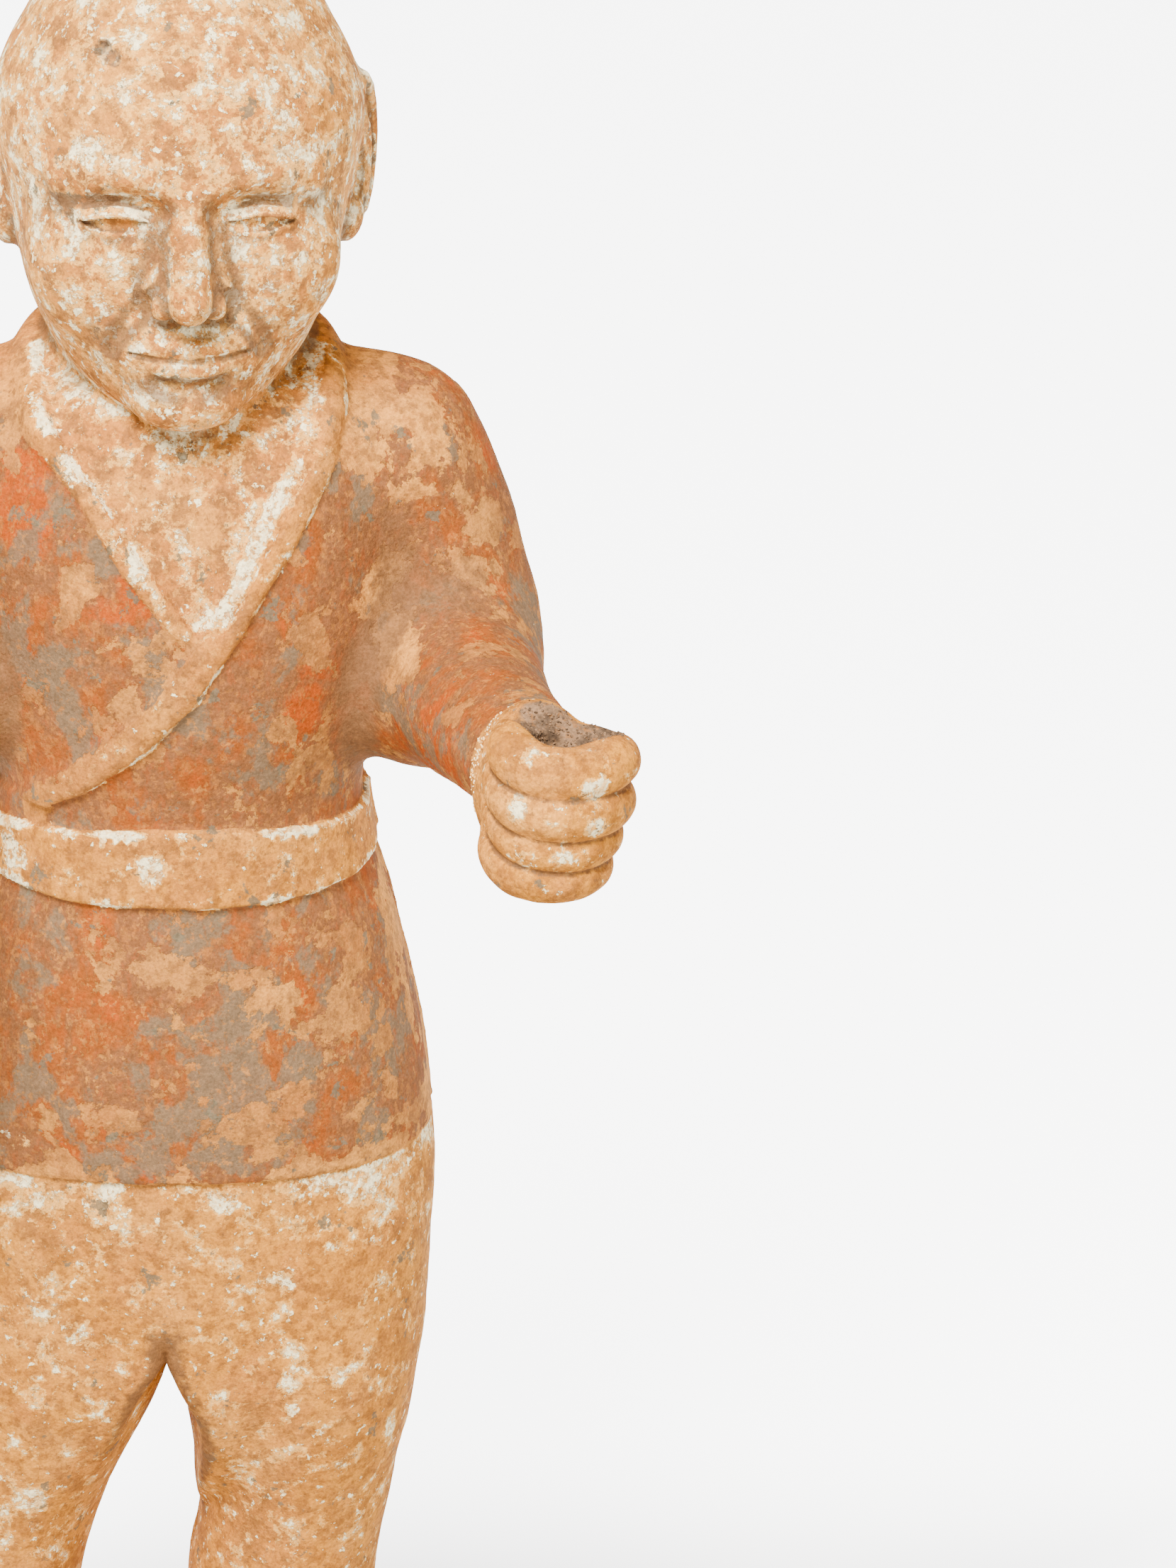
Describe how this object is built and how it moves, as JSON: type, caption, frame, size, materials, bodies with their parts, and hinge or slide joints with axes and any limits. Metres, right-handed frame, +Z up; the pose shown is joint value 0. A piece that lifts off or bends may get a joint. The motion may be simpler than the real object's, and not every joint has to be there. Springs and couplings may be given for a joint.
{
  "type": "pottery warrior figure",
  "caption": "Painted earthenware standing figure in a crossed, belted jacket and wide trousers, on a low slab, with pierced fists for a lost shaft.",
  "frame": {"origin": "middle of the slab's flat underside", "axes": "+Z up; the figure faces -Y; +X is the figure's left side"},
  "size_m": [0.4334, 0.3668, 1.1308],
  "materials": {
    "painted_pottery": "matt low-fired earthenware with worn red, ochre, grey and white pigment over tan clay"
  },
  "bodies": {
    "root": {"warrior_figure": "painted_pottery"}
  },
  "joints": []
}
